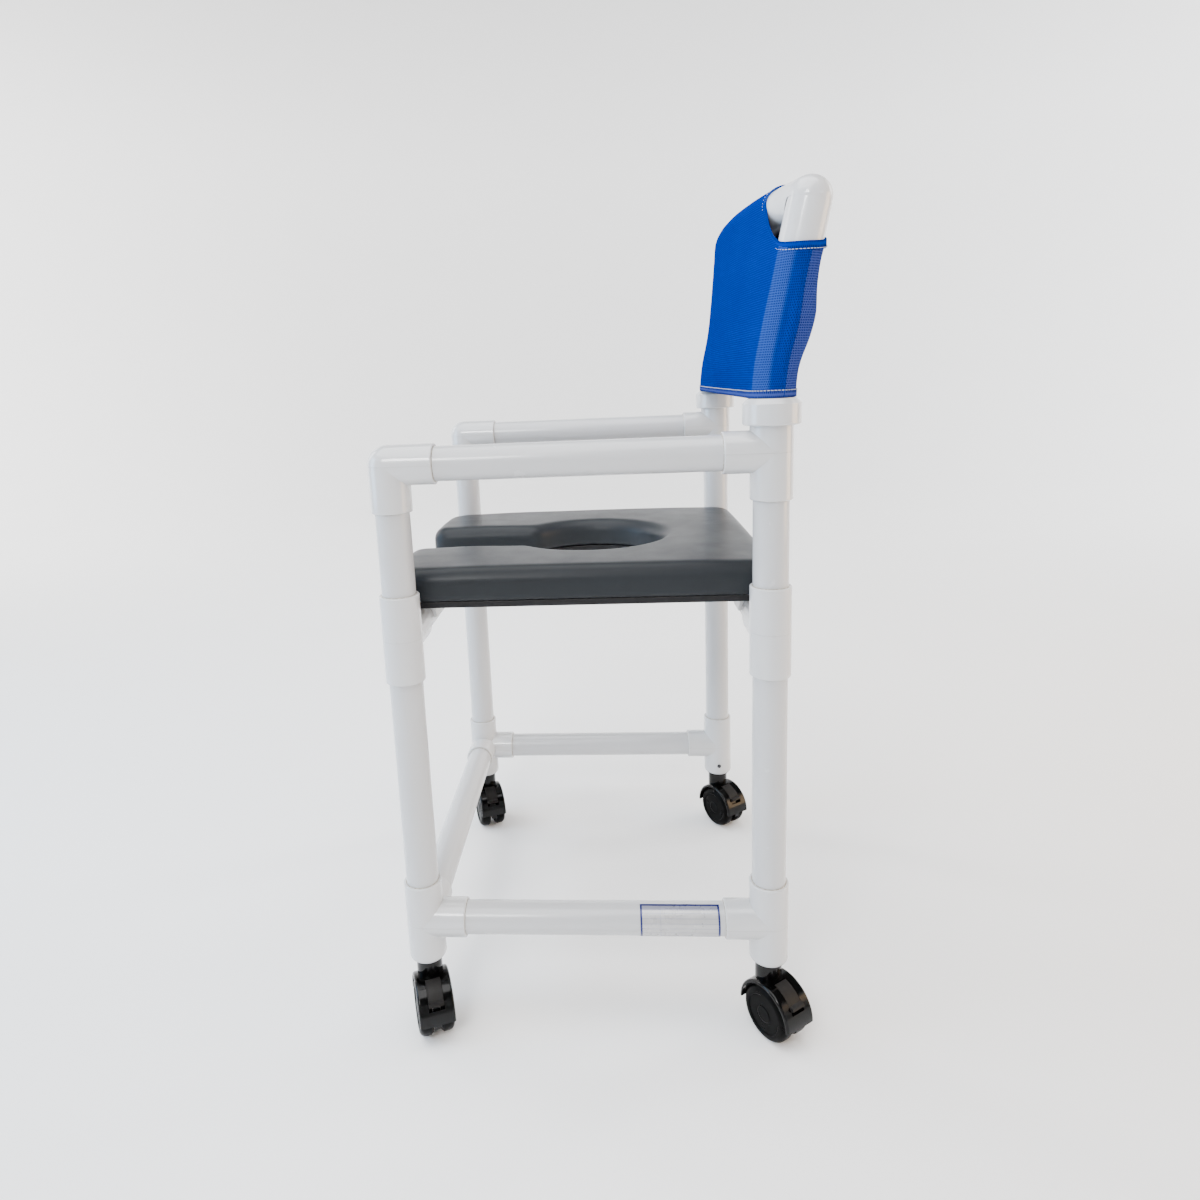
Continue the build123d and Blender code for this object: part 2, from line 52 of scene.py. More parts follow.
# --- places taken from the frame ------------------------------------------------------
left_leg_low, left_leg_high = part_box("front_left_lower_leg")
leg_x = (left_leg_low.x + left_leg_high.x) / 2
leg_y = -(left_leg_low.y + left_leg_high.y) / 2
pipe_r = (left_leg_high.x - left_leg_low.x) / 2
rail_low, rail_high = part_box("left_lower_side_rail")
rail_z = (rail_low.z + rail_high.z) / 2
seat_rail_low, seat_rail_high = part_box("front_seat_rail")
seat_rail_z = (seat_rail_low.z + seat_rail_high.z) / 2
arm_low, arm_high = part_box("left_armrest_tube")
arm_z = (arm_low.z + arm_high.z) / 2
fitting_low, fitting_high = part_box("rear_left_arm_tee")
fitting_r = (fitting_high.x - fitting_low.x) / 2
branch = leg_y - fitting_low.y
run_half = (fitting_high.z - fitting_low.z) / 2
sling_low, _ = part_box("back_sling")
bar_low, bar_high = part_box("back_top_bar")
bar_r = (bar_high.z - bar_low.z) / 2
bar_z = (bar_high.z + bar_low.z) / 2
label_low, label_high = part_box("information_label")


# --- camera ---------------------------------------------------------------------------
def make_camera():
    """Eye-level view across the sitter's left side, tilted a little down and clockwise."""
    place = Vector((1.1887, 0.0436, 0.8565))
    yaw, pitch, roll = (math.radians(a) for a in (-4.47, 10.66, -2.57))
    ahead = Vector((-math.cos(yaw) * math.cos(pitch), math.sin(yaw) * math.cos(pitch), -math.sin(pitch)))
    right = Vector((math.sin(yaw), math.cos(yaw), 0))
    above = right.cross(ahead)
    rolled_right = math.cos(roll) * right + math.sin(roll) * above
    rolled_above = -math.sin(roll) * right + math.cos(roll) * above
    turn = Matrix((rolled_right, rolled_above, -ahead)).transposed()
    data = bpy.data.cameras.new("camera")
    data.sensor_width = 36.0
    data.lens = 23.84
    data.shift_x, data.shift_y = 0.0378, -0.059
    camera = bpy.data.objects.new("camera", data)
    bpy.context.scene.collection.objects.link(camera)
    camera.matrix_world = Matrix.Translation(place) @ turn.to_4x4()
    bpy.context.scene.camera = camera


make_camera()


# --- shader building ------------------------------------------------------------------
class Shade:
    """Small helper that builds one procedural material."""

    def __init__(self, name, roughness, **fixed):
        self.material = bpy.data.materials.new(name)
        self.material.use_nodes = True
        self.tree = self.material.node_tree
        self.shader = self.tree.nodes["Principled BSDF"]
        self.shader.inputs["Roughness"].default_value = roughness
        for socket, value in fixed.items():
            self.shader.inputs[socket.replace("_", " ")].default_value = value
        self.place = self.add("ShaderNodeTexCoord").outputs["Object"]
        self.height = None

    def add(self, kind, **settings):
        made = self.tree.nodes.new(kind)
        for key, value in settings.items():
            setattr(made, key, value)
        return made

    def join(self, source, socket):
        if isinstance(source, bpy.types.NodeSocket):
            self.tree.links.new(source, socket)
        else:
            socket.default_value = source

    def math(self, operation, *values):
        made = self.add("ShaderNodeMath", operation=operation)
        for value, socket in zip(values, made.inputs):
            self.join(value, socket)
        return made.outputs[0]

    def axis(self, which):
        split = self.add("ShaderNodeSeparateXYZ")
        self.join(self.place, split.inputs[0])
        return split.outputs[which]

    def noise(self, scale, detail=2.0, stretch=(1, 1, 1), rough=0.5):
        mapping = self.add("ShaderNodeMapping")
        self.join(self.place, mapping.inputs["Vector"])
        mapping.inputs["Scale"].default_value = stretch
        made = self.add("ShaderNodeTexNoise")
        self.join(mapping.outputs[0], made.inputs["Vector"])
        made.inputs["Scale"].default_value = scale
        made.inputs["Detail"].default_value = detail
        made.inputs["Roughness"].default_value = rough
        return made.outputs["Fac"]

    def remap(self, value, low, high, to_low, to_high):
        made = self.add("ShaderNodeMapRange")
        self.join(value, made.inputs["Value"])
        sockets = ("From Min", "From Max", "To Min", "To Max")
        for socket, number in zip(sockets, (low, high, to_low, to_high)):
            made.inputs[socket].default_value = number
        return made.outputs["Result"]

    def mix(self, factor, first, second):
        made = self.add("ShaderNodeMix", data_type="RGBA")
        self.join(factor, made.inputs["Factor"])
        self.join(self.as_rgba(first), made.inputs[6])
        self.join(self.as_rgba(second), made.inputs[7])
        return made.outputs[2]

    @staticmethod
    def as_rgba(value):
        """A socket as it is, or three colour values with an alpha of 1."""
        return value if isinstance(value, bpy.types.NodeSocket) else (*value, 1)

    def colour(self, value):
        self.join(self.as_rgba(value), self.shader.inputs["Base Color"])

    def roughness(self, value):
        self.join(value, self.shader.inputs["Roughness"])

    def bump(self, height, distance, strength=1.0):
        made = self.add("ShaderNodeBump")
        made.inputs["Strength"].default_value = strength
        made.inputs["Distance"].default_value = distance
        self.join(height, made.inputs["Height"])
        if self.height:
            self.join(self.height, made.inputs["Normal"])
        self.height = made.outputs["Normal"]
        self.join(self.height, self.shader.inputs["Normal"])


def seam_band(shade, levels, half):
    """1 on thin level lines around the fittings, 0 elsewhere."""
    z = shade.axis(2)
    found = None
    for level in levels:
        gap = shade.math("ABSOLUTE", shade.math("SUBTRACT", z, level))
        line = shade.remap(gap, half, half * 0.4, 0.0, 1.0)
        found = line if found is None else shade.math("MAXIMUM", found, line)
    return found


def pipe_material():
    shade = Shade("pipe_pvc", 0.25, IOR=1.53, Coat_Weight=0.15, Coat_Roughness=0.08)
    cloud = shade.noise(5.0, 3.0)
    shade.colour(shade.mix(cloud, (0.485, 0.49, 0.505), (0.505, 0.51, 0.52)))
    smear = shade.noise(38.0, 4.0)
    shade.roughness(shade.remap(smear, 0.3, 0.75, 0.2, 0.28))
    shade.bump(shade.noise(9.0, 1.0), 0.0004, 0.12)
    shade.bump(shade.noise(900.0, 2.0), 0.00003, 0.15)
    return shade.material


def fitting_material():
    shade = Shade("fitting_pvc", 0.18, IOR=1.54, Coat_Weight=0.3, Coat_Roughness=0.05)
    cloud = shade.noise(9.0, 3.0)
    tint = shade.mix(cloud, (0.52, 0.53, 0.545), (0.57, 0.57, 0.575))
    seam = seam_band(shade, (rail_z, seat_rail_z, arm_z), 0.35 * mm)
    shade.colour(shade.mix(shade.math("MULTIPLY", seam, 0.35), tint, (0.36, 0.36, 0.345)))
    shade.roughness(shade.remap(shade.noise(60.0, 3.0), 0.3, 0.7, 0.12, 0.19))
    shade.bump(seam, 0.00025, 0.9)
    shade.bump(shade.noise(14.0, 1.0), 0.0004, 0.15)
    return shade.material


def back_pipe_material():
    shade = Shade("back_pvc", 0.2, IOR=1.53, Coat_Weight=0.25, Coat_Roughness=0.05)
    shade.colour(shade.mix(shade.noise(6.0, 3.0), (0.54, 0.55, 0.565), (0.59, 0.59, 0.60)))
    shade.roughness(shade.remap(shade.noise(45.0, 3.0), 0.3, 0.7, 0.12, 0.26))
    shade.bump(shade.noise(9.0, 1.0), 0.0004, 0.12)
    return shade.material


def cushion_material():
    shade = Shade("cushion_skin", 0.36, IOR=1.5, Specular_IOR_Level=0.12)
    broad = shade.noise(7.0, 3.0)
    shade.colour(shade.mix(broad, (0.0195, 0.022, 0.025), (0.021, 0.0235, 0.0265)))
    shade.roughness(shade.remap(shade.noise(30.0, 4.0), 0.3, 0.7, 0.33, 0.39))
    grain = shade.add("ShaderNodeTexVoronoi")
    shade.join(shade.place, grain.inputs["Vector"])
    grain.inputs["Scale"].default_value = 900.0
    shade.bump(grain.outputs["Distance"], 0.00012, 0.35)
    shade.bump(shade.noise(240.0, 3.0), 0.0001, 0.3)
    return shade.material


def board_material():
    shade = Shade("board", 0.5, IOR=1.5, Specular_IOR_Level=0.25)
    shade.colour(shade.mix(shade.noise(80.0, 4.0), (0.004, 0.004, 0.005), (0.009, 0.009, 0.010)))
    shade.roughness(shade.remap(shade.noise(120.0, 4.0), 0.3, 0.7, 0.38, 0.6))
    shade.bump(shade.noise(700.0, 2.0), 0.00008, 0.5)
    return shade.material


def black_material(name, tint_low, tint_high, rough_low, rough_high, specular):
    shade = Shade(name, rough_low, IOR=1.45, Specular_IOR_Level=specular)
    dust = shade.remap(shade.noise(420.0, 2.0, rough=0.7), 0.68, 0.76, 0.0, 0.2)
    body = shade.mix(shade.noise(40.0, 3.0), tint_low, tint_high)
    shade.colour(shade.mix(dust, body, (0.05, 0.048, 0.046)))
    shade.roughness(shade.remap(shade.noise(90.0, 4.0), 0.3, 0.7, rough_low, rough_high))
    shade.bump(shade.noise(500.0, 3.0), 0.00006, 0.5)
    return shade.material


def steel_material(name, tint):
    shade = Shade(name, 0.3, Metallic=1.0)
    shade.colour(shade.mix(shade.noise(200.0, 3.0), tint, tuple(c * 0.8 for c in tint)))
    shade.roughness(shade.remap(shade.noise(300.0, 3.0), 0.3, 0.7, 0.22, 0.4))
    shade.bump(shade.noise(800.0, 2.0), 0.00003, 0.5)
    return shade.material


def clip_material():
    shade = Shade("clip_plastic", 0.4)
    shade.colour(shade.mix(shade.noise(50.0, 3.0), (0.72, 0.72, 0.72), (0.8, 0.8, 0.79)))
    shade.roughness(shade.remap(shade.noise(150.0, 3.0), 0.3, 0.7, 0.33, 0.5))
    shade.bump(shade.noise(600.0, 2.0), 0.00006, 0.5)
    return shade.material


def glue_material():
    shade = Shade("glue_bead", 0.2, IOR=1.45, Transmission_Weight=0.3)
    shade.colour(shade.mix(shade.noise(150.0, 2.0), (0.44, 0.38, 0.26), (0.54, 0.51, 0.44)))
    shade.roughness(shade.remap(shade.noise(250.0, 2.0), 0.3, 0.7, 0.12, 0.35))
    shade.bump(shade.noise(420.0, 2.0), 0.0002, 0.6)
    return shade.material


def thread_material():
    shade = Shade("thread", 0.6)
    shade.colour(shade.mix(shade.noise(900.0, 2.0), (0.34, 0.37, 0.44), (0.5, 0.52, 0.56)))
    shade.roughness(shade.remap(shade.noise(1200.0, 2.0), 0.3, 0.7, 0.5, 0.7))
    shade.bump(shade.noise(2500.0, 2.0), 0.0001, 0.6)
    return shade.material


def label_material():
    """Silver foil with a navy frame, a header band and plain ruled cells. It has no lettering."""
    shade = Shade("label_foil", 0.3, Metallic=0.3)
    y, z, x = shade.axis(1), shade.axis(2), shade.axis(0)
    turn = shade.math("ARCTAN2", shade.math("SUBTRACT", z, rail_z), shade.math("SUBTRACT", x, leg_x))
    arc = shade.math("MULTIPLY", turn, pipe_r)
    low_arc, high_arc = math.radians(-50) * pipe_r, math.radians(86) * pipe_r
    inside = []
    for value, low, high, edge in (
        (y, label_low.y, label_high.y, 2.6 * mm),
        (arc, low_arc, high_arc, 2.8 * mm),
    ):
        inside.append(shade.math("GREATER_THAN", value, low + edge))
        inside.append(shade.math("LESS_THAN", value, high - edge))
    field = inside[0]
    for other in inside[1:]:
        field = shade.math("MULTIPLY", field, other)
    header = shade.math("GREATER_THAN", arc, high_arc - 9.0 * mm)
    rows = shade.math("PINGPONG", shade.math("SUBTRACT", arc, low_arc), 3.1 * mm)
    rule = shade.math("LESS_THAN", rows, 0.45 * mm)
    column = shade.math("ABSOLUTE", shade.math("SUBTRACT", y, label_low.y + 26 * mm))
    rule = shade.math("MAXIMUM", rule, shade.math("LESS_THAN", column, 0.5 * mm))
    foil = shade.mix(shade.noise(12.0, 3.0, (1, 4, 1)), (0.40, 0.40, 0.42), (0.52, 0.515, 0.51))
    ruled = shade.mix(shade.math("MULTIPLY", rule, 0.55), foil, (0.25, 0.26, 0.34))
    topped = shade.mix(shade.math("MULTIPLY", header, 0.6), ruled, (0.12, 0.13, 0.24))
    shade.colour(shade.mix(field, (0.012, 0.018, 0.12), topped))
    shade.roughness(shade.remap(shade.noise(60.0, 3.0), 0.3, 0.7, 0.22, 0.38))
    shade.bump(shade.noise(300.0, 2.0), 0.00005, 0.5)
    return shade.material


def mesh_cloth_material(name):
    """Plastic-coated open mesh: bright yarns with painted shade in the holes between them, painted sheen
    on the rear panel's yarns and a painted highlight band round each post, laid out on the cloth's UVs
    in metres.
    """
    shade = Shade(name, 0.5, IOR=1.45, Specular_IOR_Level=0.0)
    uv = shade.add("ShaderNodeUVMap", uv_map="cloth").outputs["UV"]
    split = shade.add("ShaderNodeSeparateXYZ")
    shade.join(uv, split.inputs[0])
    across, along = split.outputs[0], split.outputs[1]
    warp_pitch, weft_pitch = 2.1 * mm, 2.7 * mm
    row = shade.math("DIVIDE", along, weft_pitch)
    shift = shade.math("MULTIPLY", shade.math("MODULO", shade.math("FLOOR", row), 2.0), 0.5)
    col = shade.math("ADD", shade.math("DIVIDE", across, warp_pitch), shift)
    row_wave = shade.math("ABSOLUTE", shade.math("SINE", shade.math("MULTIPLY", row, math.pi)))
    col_wave = shade.math("ABSOLUTE", shade.math("SINE", shade.math("MULTIPLY", col, math.pi)))
    row_gap = shade.remap(row_wave, 0.35, 0.8, 0, 1)
    col_gap = shade.remap(col_wave, 0.45, 0.85, 0, 1)
    gap = shade.math("MULTIPLY", row_gap, col_gap)
    yarn = shade.math("SUBTRACT", 1.0, gap)
    patch = shade.noise(22.0, 3.0)
    bright = shade.mix(patch, (0.0004, 0.020, 0.215), (0.0008, 0.028, 0.25))
    past_post = shade.math("SUBTRACT", shade.math("ABSOLUTE", across), leg_x)
    turned = shade.math("DIVIDE", past_post, sling_reach)
    # painted sheen: past the side seam the rear panel's yarns are painted a lighter greyish lilac
    rear = shade.remap(turned, math.radians(seam_degrees - 1), math.radians(seam_degrees + 1), 0.0, 0.34)
    # painted highlight: a brighter blue band on the wrap round each post
    sheen_band_start = shade.remap(turned, 0.3, 0.42, 0, 1)
    sheen_band_end = shade.remap(turned, 1.15, 1.35, 1, 0)
    painted_sheen_band = shade.math("MULTIPLY", sheen_band_start, sheen_band_end)
    bright = shade.mix(shade.math("MULTIPLY", rear, yarn), bright, (0.12, 0.14, 0.30))
    bright = shade.mix(shade.math("MULTIPLY", painted_sheen_band, 0.22), bright, (0.10, 0.20, 0.50))
    # painted shade: the mesh's holes are coloured dark navy for the shade seen through them
    shade.colour(shade.mix(shade.math("MULTIPLY", gap, 0.85), bright, (0.0005, 0.006, 0.05)))
    shade.roughness(shade.remap(shade.noise(400.0, 2.0), 0.3, 0.7, 0.42, 0.6))
    shade.bump(yarn, 0.0005, 0.7)
    return shade.material


# --- mesh building --------------------------------------------------------------------
def new_piece(name, mesh_data, body, material):
    piece = bpy.data.objects.new(name, mesh_data)
    bpy.context.scene.collection.objects.link(piece)
    mesh_data.materials.append(material)
    for face in mesh_data.polygons:
        face.use_smooth = True
    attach(piece, body)
    return piece


def ring_into(made, centre, direction, radius, thickness, around=64, section=10):
    """Adds one torus to a bmesh."""
    direction = Vector(direction).normalized()
    first = direction.orthogonal().normalized()
    second = direction.cross(first)
    rows = []
    for i in range(around):
        turn = 2 * math.pi * i / around
        out = first * math.cos(turn) + second * math.sin(turn)
        row = []
        for k in range(section):
            roll = 2 * math.pi * k / section
            at = Vector(centre) + out * (radius + thickness * math.cos(roll))
            row.append(made.verts.new(at + direction * thickness * math.sin(roll)))
        rows.append(row)
    for i in range(around):
        for k in range(section):
            j, m = (i + 1) % around, (k + 1) % section
            made.faces.new((rows[i][k], rows[j][k], rows[j][m], rows[i][m]))


def finish_mesh(made, name):
    bmesh.ops.recalc_face_normals(made, faces=made.faces)
    data = bpy.data.meshes.new(name)
    made.to_mesh(data)
    made.free()
    return data


def socket_mouths():
    """(centre, direction) of every pipe socket's mouth on the frame's fittings."""
    mouths = []
    for side in (1, -1):
        for end in (1, -1):
            x, y = side * leg_x, end * leg_y
            inward_x, inward_y = (-side, 0, 0), (0, -end, 0)
            for z in (rail_z, seat_rail_z, arm_z):
                front = end < 0
                if z == arm_z and front:
                    mouths.append(((x, y, z - branch), (0, 0, -1)))
                else:
                    mouths.append(((x, y, z + run_half), (0, 0, 1)))
                    if z != rail_z:
                        mouths.append(((x, y, z - run_half), (0, 0, -1)))
                if z != seat_rail_z:
                    mouths.append(((x, y - end * branch, z), inward_y))
                if z == seat_rail_z or (z == rail_z and front):
                    mouths.append(((x - side * branch, y, z), inward_x))
    return [m for m in mouths if not (m[0][2] > arm_z and m[0][1] > 0)]


def make_glue_beads(material):
    made = bmesh.new()
    for centre, direction in socket_mouths():
        ring_into(made, centre, direction, pipe_r + 0.45 * mm, 0.5 * mm)
    return new_piece("glue_beads", finish_mesh(made, "glue_beads"), "frame", material)


def make_gate_marks(material):
    """Small round moulding marks in the middle of the fittings' outer faces."""
    made = bmesh.new()
    for side in (1, -1):
        for end in (1, -1):
            for z in (rail_z, seat_rail_z, arm_z):
                at = (side * (leg_x + fitting_r - 0.1 * mm), end * leg_y, z)
                if not (z == arm_z and end < 0):
                    ring_into(made, at, (side, 0, 0), 1.9 * mm, 0.35 * mm, 24, 8)
    return new_piece("gate_marks", finish_mesh(made, "gate_marks"), "frame", material)


# --- back sling -----------------------------------------------------------------------
post_foot_z = arm_z + run_half
post_bend_r, post_lean = 0.300, math.radians(12.0)
bend_end_z = post_foot_z + post_bend_r * math.sin(post_lean)
bend_end_y = leg_y + post_bend_r * (1 - math.cos(post_lean))
hem_bow, bar_bow = 0.001, 0.038  # how far the middle of the sling lies forward of the posts
sling_reach = bar_r + 1.7 * mm
hem_z = sling_low.z
cutout_x, cutout_z, cutout_r = 0.2866, bar_z + 0.0415, 0.090
hem_width, hem_thick = 9.0 * mm, 1.15 * mm
bulge_out = 7.0 * mm  # the rear panel's bulge beside each post
bulge_up, bulge_half_width, bulge_half_height = 0.078, 0.075, 0.036


def post_y(z):
    if z <= bend_end_z:
        rise = max(z - post_foot_z, 0.0)
        return leg_y + post_bend_r - math.sqrt(post_bend_r**2 - rise**2)
    return bend_end_y + (z - bend_end_z) * math.tan(post_lean)


def cut_edge_z(x):
    """Height of the corner cut-out's lower edge at a distance from the middle."""
    offset = min(abs(abs(x) - cutout_x), cutout_r)
    return cutout_z - math.sqrt(cutout_r**2 - offset**2)


def cut_edge_x(z):
    """Distance from the middle to the corner cut-out at a height."""
    return cutout_x - math.sqrt(cutout_r**2 - (z - cutout_z) ** 2)


loop_half = 2 * leg_x + math.pi * sling_reach  # front middle round one post to the rear middle
crown_half = cut_edge_x(bar_z)
seam_walked = leg_x + sling_reach * math.radians(seam_degrees)


def side_point(turn, z):
    """Point and outward direction on the sling's level loop.

    turn runs 0 to 1 from the front middle round the left post to the rear middle.
    """
    bow = hem_bow + (bar_bow - hem_bow) * max(0.0, (z - hem_z) / (bar_z - hem_z))
    arc = math.pi * sling_reach
    walked = turn * loop_half
    if walked <= leg_x:
        x = walked
        y = post_y(z) - bow * (1 - (x / leg_x) ** 2)
        return Vector((x, y - sling_reach, z)), Vector((0, -1, 0))
    if walked >= leg_x + arc:
        x = loop_half - walked
        y = post_y(z) - bow * (1 - (x / leg_x) ** 2)
        return Vector((x, y + sling_reach, z)), Vector((0, 1, 0))
    angle = -math.pi / 2 + (walked - leg_x) / sling_reach
    out = Vector((math.cos(angle), math.sin(angle), 0))
    return Vector((leg_x, post_y(z), z)) + out * sling_reach, out


def slack(x, y_side, z):
    """How far the slack rear panel stands off, and the small wrinkles of the whole sling."""
    level = (z - hem_z) / (bar_z - hem_z)
    hold = max(0.0, math.sin(math.pi * min(max(level, 0.0), 1.0)))
    wave = noise.noise(Vector((x * 9.0, y_side * 2.0, z * 14.0 + x * 6.0)))
    fine = noise.noise(Vector((x * 30.0, y_side * 5.0, z * 38.0)))
    if y_side > 0:
        near_post = math.exp(-((abs(x) - leg_x) / bulge_half_width) ** 2)
        bulge = bulge_out * near_post * math.exp(-((z - hem_z - bulge_up) / bulge_half_height) ** 2)
        return bulge + hold * (2.4 * wave + 0.9 * fine) * mm
    return hold * (0.5 * wave + 0.25 * fine) * mm


def sling_point(walked, z):
    """Point and outward direction at a distance walked round the loop; negative is the right side."""
    side = 1.0 if walked >= 0 else -1.0
    at, out = side_point(abs(walked) / loop_half, z)
    at = at + out * slack(at.x, out.y, z)
    return Vector((side * at.x, at.y, at.z)), Vector((side * out.x, out.y, out.z))


def crown_point(share, turn):
    """Point and outward direction on the turn-over above the bar.

    share runs -1 to 1 across it, turn 0 to 1 from front to rear.
    """
    x = share * cut_edge_x(bar_z + sling_reach * math.sin(math.pi * turn))
    y = post_y(bar_z) - bar_bow * (1 - (x / leg_x) ** 2)
    angle = math.pi * turn
    out = Vector((0, -math.cos(angle), math.sin(angle)))
    return Vector((x, y, bar_z)) + out * sling_reach, out


def column_top(walked):
    """Height at which the sling ends at a place on the loop: the cut-out's edge, or the bar."""
    at, _ = side_point(min(abs(walked) / loop_half, 1.0), bar_z)
    if at.x <= crown_half:
        return bar_z
    return min(cut_edge_z(at.x), bar_z)


def side_columns(count):
    """(distance walked, top) of evenly spaced columns from one edge of the middle to the other."""
    columns = [crown_half + (loop_half - 2 * crown_half) * i / count for i in range(count + 1)]
    return [(walked, column_top(walked) if 0 < i < count else bar_z) for i, walked in enumerate(columns)]


def make_sling(material):
    """One sewn sleeve: front panel, turn-over above the bar, rear panel, wraps round both posts."""
    made = bmesh.new()
    cloth = made.loops.layers.uv.new("cloth")
    rows, crown_rows, middle_count, side_count = 44, 14, 64, 46

    middle_columns = [crown_half * (2 * i / middle_count - 1) for i in range(middle_count + 1)]
    # middle: up the front, over the bar and down the rear
    path = [("front", hem_z + (bar_z - hem_z) * j / rows) for j in range(rows + 1)]
    path += [("crown", k / crown_rows) for k in range(1, crown_rows)]
    path += [("rear", bar_z + (hem_z - bar_z) * j / rows) for j in range(rows + 1)]
    lengths = [0.0]
    previous = None
    grid = []
    for where, value in path:
        line = []
        for x in middle_columns:
            if where == "front":
                at = sling_point(x, value)[0]
            elif where == "rear":
                walked = (loop_half - abs(x)) * (1 if x >= 0 else -1)
                at = sling_point(walked, value)[0]
            else:
                at = crown_point(x / crown_half, value)[0]
            line.append(at)
        if previous is not None:
            half = middle_count // 2
            lengths.append(lengths[-1] + (line[half] - previous[half]).length)
        previous = line
        grid.append([made.verts.new(p) for p in line])
    for j in range(len(grid) - 1):
        for i in range(len(middle_columns) - 1):
            face = made.faces.new((grid[j][i], grid[j][i + 1], grid[j + 1][i + 1], grid[j + 1][i]))
            for loop, (ii, jj) in zip(face.loops, ((i, j), (i + 1, j), (i + 1, j + 1), (i, j + 1))):
                loop[cloth].uv = (middle_columns[ii], lengths[jj])
    # sides: from the edge of the middle round each post
    for side in (1, -1):
        columns = side_columns(side_count)
        side_grid = []
        for walked, top in columns:
            column = []
            for j in range(rows + 1):
                z = hem_z + (top - hem_z) * j / rows
                at = sling_point(side * walked, z)[0]
                column.append((made.verts.new(at), z))
            side_grid.append(column)
        for i in range(side_count):
            for j in range(rows):
                order = ((i, j), (i + 1, j), (i + 1, j + 1), (i, j + 1))
                if side < 0:
                    order = order[::-1]
                face = made.faces.new([side_grid[a][b][0] for a, b in order])
                for loop, (a, b) in zip(face.loops, order):
                    loop[cloth].uv = (side * columns[a][0], side_grid[a][b][1] - hem_z)
    bmesh.ops.remove_doubles(made, verts=made.verts, dist=0.05 * mm)
    piece = new_piece("sling_cloth", finish_mesh(made, "sling_mesh"), "frame", material)
    thick = piece.modifiers.new("thickness", "SOLIDIFY")
    thick.thickness, thick.offset = 0.9 * mm, 0.0
    return piece


def hem_path():
    """The sling's bottom edge and its two cut-out edges, as closed runs.

    Each run lists (point, outward, inward along the cloth).
    """
    bottom_count, cut_count, crown_count = 260, 96, 24
    bottom = []
    for i in range(bottom_count):
        walked = -loop_half + 2 * loop_half * i / bottom_count
        low = sling_point(walked, hem_z)
        high = sling_point(walked, hem_z + hem_width)
        bottom.append((low[0], low[1], (high[0] - low[0]).normalized()))
    cuts = []
    for side in (1, -1):
        loop = [sling_point(side * walked, top) for walked, top in side_columns(cut_count)]
        loop += [crown_point(side, k / crown_count) for k in range(crown_count - 1, 0, -1)]
        made = []
        for i, (at, out) in enumerate(loop):
            ahead = loop[(i + 1) % len(loop)][0] - loop[i - 1][0]
            inward = ahead.cross(out).normalized() * side
            made.append((at, out, inward))
        cuts.append(made)
    return bottom, cuts


def band_from(made, run, cloth):
    """Folded hem: a closed strip of rounded section that follows the edge."""
    bulge, tip, outer = hem_thick * 1.05, hem_thick * 0.4, hem_width - 0.5 * mm
    section = [
        (-0.6 * mm, 0.0), (0.0, hem_thick), (hem_width * 0.5, bulge), (outer, hem_thick),
        (hem_width, tip), (hem_width, -tip), (outer, -hem_thick),
        (hem_width * 0.5, -bulge), (0.0, -hem_thick),
    ]
    uv_step = 1.6 * mm
    rows, walked = [], 0.0
    for i, (at, out, inward) in enumerate(run):
        if i:
            walked += (at - run[i - 1][0]).length
        rows.append(([made.verts.new(at + inward * a + out * b) for a, b in section], walked))
    total = walked + (run[0][0] - run[-1][0]).length
    count = len(rows)
    for i in range(count):
        j = (i + 1) % count
        start, end = rows[i][1], rows[j][1] if j else total
        for k in range(len(section)):
            m = (k + 1) % len(section)
            face = made.faces.new((rows[i][0][k], rows[j][0][k], rows[j][0][m], rows[i][0][m]))
            uvs = ((start, k), (end, k), (end, k + 1), (start, k + 1))
            for loop, (u, v) in zip(face.loops, uvs):
                loop[cloth].uv = (u, v * uv_step)


def make_hems(material):
    made = bmesh.new()
    cloth = made.loops.layers.uv.new("cloth")
    bottom, cuts = hem_path()
    for run in (bottom, *cuts):
        band_from(made, run, cloth)
    return new_piece("sling_hems", finish_mesh(made, "sling_hems"), "frame", material)


def stitch_into(made, start, end, out, radius):
    """One thread stitch: a short arched tube."""
    ahead = (end - start).normalized()
    side = ahead.cross(out).normalized()
    rows = []
    for i in range(6):
        share = i / 5
        arch = math.sin(math.pi * share) * radius * 1.3
        size = radius * (0.55 + 0.45 * math.sin(math.pi * share))
        at = start.lerp(end, share) + out * arch
        rows.append([
            made.verts.new(at + (side * math.cos(t) + out * math.sin(t)) * size)
            for t in (2 * math.pi * k / 6 for k in range(6))
        ])
    for a, b in zip(rows, rows[1:]):
        for k in range(6):
            made.faces.new((a[k], b[k], b[(k + 1) % 6], a[(k + 1) % 6]))
    made.faces.new(rows[0][::-1])
    made.faces.new(rows[-1])


def stitched_line(made, points, length, gap, radius, wander=0.25):
    """Stitches along a list of (point, outward)."""
    position = 0
    dist = [0.0]
    for a, b in zip(points, points[1:]):
        dist.append(dist[-1] + (b[0] - a[0]).length)

    def at(s):
        nonlocal position
        while position < len(dist) - 2 and dist[position + 1] < s:
            position += 1
        span = dist[position + 1] - dist[position] or 1e-9
        share = (s - dist[position]) / span
        here = points[position][0].lerp(points[position + 1][0], share)
        out = points[position][1].lerp(points[position + 1][1], share).normalized()
        return here, out

    s = gap
    while s + length < dist[-1]:
        start, out = at(s)
        end, _ = at(s + length)
        drift = noise.noise(Vector((s * 40.0, 3.1, 0.0))) * wander * mm
        lift = out * (radius * 0.3)
        sideways = (end - start).normalized().cross(out) * drift
        stitch_into(made, start + lift + sideways, end + lift + sideways, out, radius)
        s += length + gap


def seam_run(side, count):
    """(height, point, outward) up the line where the front panel's wrap meets the rear panel."""
    top = cut_edge_z(sling_point(seam_walked, bar_z)[0].x)
    heights = [hem_z + 1 * mm + (top - hem_z - 2 * mm) * i / (count - 1) for i in range(count)]
    return [(z, *sling_point(side * seam_walked, z)) for z in heights]


